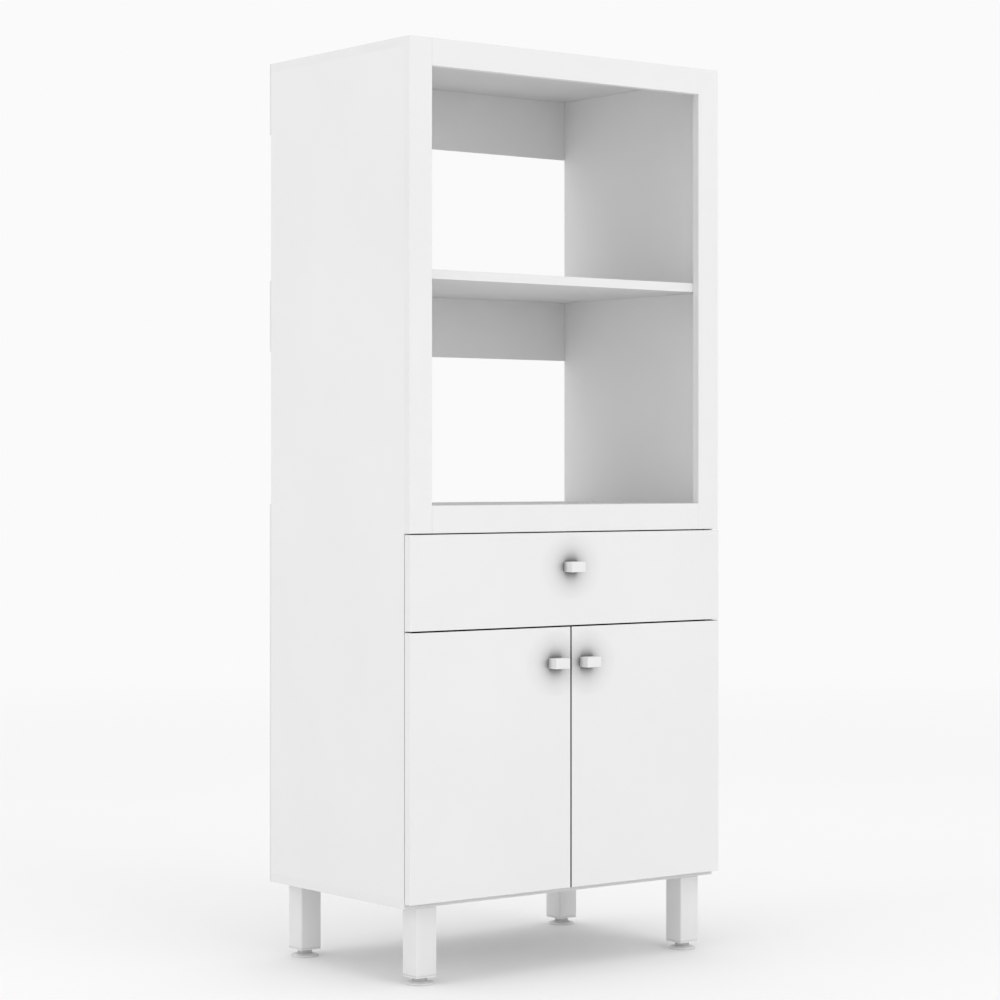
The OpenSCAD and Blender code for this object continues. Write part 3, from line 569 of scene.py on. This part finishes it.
def eased_board(name, body, thin):
    low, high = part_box(name)
    ease = FRONT_EASE if name in FRONTS else EASE
    piece, count = eased_copy(name, name + "_eased", ease, 2)
    piece.data.materials.clear()
    for material in SKINS:
        piece.data.materials.append(material)
    for face in piece.data.polygons:
        face.material_index = SKINS.index(skin_of(name, face, thin, low, high))
    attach(piece, body)
    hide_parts(name)
    print(piece.name, "edges eased:", count, "faces:", len(piece.data.polygons))


for body, boards in BOARDS.items():
    for name, thin in boards.items():
        eased_board(name, body, thin)

# %% [markdown]
# ## Turned pieces
# Glides are round, so each is a half outline spun about its axis.
# The outline starts as a single point, made by merging a plane, and grows by extruding that point
# step by step, as one would click it in a window.

# %% Turn a profile about an upright axis
def turned(name, profile, steps=48):
    bpy.ops.object.select_all(action="DESELECT")
    bpy.ops.mesh.primitive_plane_add(size=MM)
    piece = bpy.context.object
    piece.name = name
    bpy.ops.object.mode_set(mode="EDIT")
    bpy.ops.mesh.select_mode(type="VERT")
    bpy.ops.mesh.select_all(action="SELECT")
    bpy.ops.mesh.merge(type="CENTER")
    radius, height = profile[0]
    bpy.ops.transform.translate(value=(radius * MM, 0, height * MM))
    for next_radius, next_height in profile[1:]:
        move = ((next_radius - radius) * MM, 0, (next_height - height) * MM)
        bpy.ops.mesh.extrude_region_move(TRANSFORM_OT_translate={"value": move})
        radius, height = next_radius, next_height
    bpy.ops.mesh.select_all(action="SELECT")
    bpy.ops.mesh.spin(steps=steps, angle=2 * math.pi, center=(0, 0, 0), axis=(0, 0, 1))
    bpy.ops.mesh.select_all(action="SELECT")
    bpy.ops.mesh.remove_doubles(threshold=NEAR / 4)
    bpy.ops.mesh.normals_make_consistent(inside=False)
    bpy.ops.object.mode_set(mode="OBJECT")
    return piece


def settle(piece, place):
    piece.location = place
    only(piece)
    bpy.ops.object.transform_apply(location=True, rotation=True, scale=True)
    return piece


def copy_of(piece, name):
    twin = bpy.data.objects.new(name, piece.data.copy())
    scene.collection.objects.link(twin)
    return twin


print("turning tools ready")

# %% [markdown]
# ## Levelling glides
# Each leg stands on a glide: a thin wide disc with a rounded rim, a low cone above it and a neck that
# stops against the leg. The stem above the neck runs up inside the leg. One glide is turned and then
# copied under each leg, and every copy rides on its own body, because each glide can be screwed out.
# The disc is satin plated, while the neck and stem keep their darker, duller thread metal.

# %% Glides
GLIDE = [
    (0, 0), (21.9, 0), (22.6, 0.3), (23, 0.9), (23, 2.1), (22.6, 2.7), (21.8, 3), (20.6, 3.3),
    (15, 4.7), (12.9, 5.4), (12, 6.2), (12, 11.7), (11.7, 12), (4, 12), (4, 43.4), (3.4, 44), (0, 44),
]
DISC_TOP = 5.6 * MM
glide = turned("glide_model", GLIDE)
glide.data.materials.append(satin_metal)
glide.data.materials.append(thread_metal)
for face in glide.data.polygons:
    face.material_index = 1 if face.center.z > DISC_TOP else 0
bpy.ops.object.shade_smooth_by_angle(angle=math.radians(35))
for end in ("front_left", "front_right", "rear_left", "rear_right"):
    low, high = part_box("glide_" + end)
    foot = copy_of(glide, "glide_" + end + "_turned")
    settle(foot, ((low.x + high.x) / 2, (low.y + high.y) / 2, low.z))
    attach(foot, "glide_" + end)
    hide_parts("glide_" + end)
bpy.data.objects.remove(glide)
print("glides:", 4)

# %% [markdown]
# ## Legs
# The legs are square steel tube. A rolled tube has rounded corners, about three millimetres outside,
# and so has the plastic plug that closes its foot. Both are copies of the CAD nodes whose upright
# corner edges are bevelled.

# %% Legs and foot plugs
LEG_ROUND = 3 * MM
LEG_HALF = 20 * MM


def upright_corner(mesh, edge):
    a, b = (mesh.vertices[v].co for v in edge.vertices)
    if abs(a.x - b.x) > NEAR or abs(a.y - b.y) > NEAR:
        return False
    return round_axis(a)


def round_axis(point):
    return any(
        abs(abs(point.x - x) - LEG_HALF) < NEAR and abs(abs(point.y - y) - LEG_HALF) < NEAR
        for x, y in leg_axes
    )


low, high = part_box("legs")
leg_axes = [(x, y) for x in (low.x + LEG_HALF, high.x - LEG_HALF)
            for y in (low.y + LEG_HALF, high.y - LEG_HALF)]
for name, material, slot in (("legs", leg_coat, "white_leg"), ("leg_plugs", nylon, "white_nylon")):
    piece, count = eased_copy(name, name + "_rounded", LEG_ROUND, 5, upright_corner)
    piece.data.materials.clear()
    piece.data.materials.append(material)
    only(piece)
    bpy.ops.object.shade_smooth_by_angle(angle=math.radians(30))
    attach(piece, "carcass")
    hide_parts(name)
    print(piece.name, "corners rounded:", count)

# %% [markdown]
# ## Knobs
# Each knob is an oblong moulded block that stands straight on its front. All its edges are softly
# rounded except the four that meet the front. The first knob is made for the drawer and copied to the
# doors.

# %% One knob
KNOB = (29, 21, 17)
KNOB_ROUND = 0.9
bpy.ops.object.select_all(action="DESELECT")
bpy.ops.mesh.primitive_cube_add(size=1, location=(0, -KNOB[1] / 2 * MM, 0),
                                scale=tuple(v * MM for v in KNOB))
knob = bpy.context.object
knob.name = "knob_model"
bpy.ops.object.transform_apply(location=True, rotation=True, scale=True)
pick(knob, "edges", lambda mesh, edge: min(mesh.vertices[v].co.y for v in edge.vertices) < -NEAR)
bpy.ops.mesh.bevel(offset=KNOB_ROUND * MM, segments=4, affect="EDGES")
bpy.ops.object.mode_set(mode="OBJECT")
bpy.ops.object.shade_smooth_by_angle(angle=math.radians(35))
print("knob faces:", len(knob.data.polygons))

# %% Three knobs
for node_name, body in (("drawer_knob", "drawer"), ("knob_left", "left_door"),
                        ("knob_right", "right_door")):
    low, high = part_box(node_name)
    piece = copy_of(knob, node_name + "_moulded")
    settle(piece, ((low.x + high.x) / 2, high.y, (low.z + high.z) / 2))
    piece.data.materials.append(knob_plastic_painted_shade)
    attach(piece, body)
    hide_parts(node_name)
    print(piece.name, [round(v, 4) for v in piece.bound_box[0]])
bpy.data.objects.remove(knob)
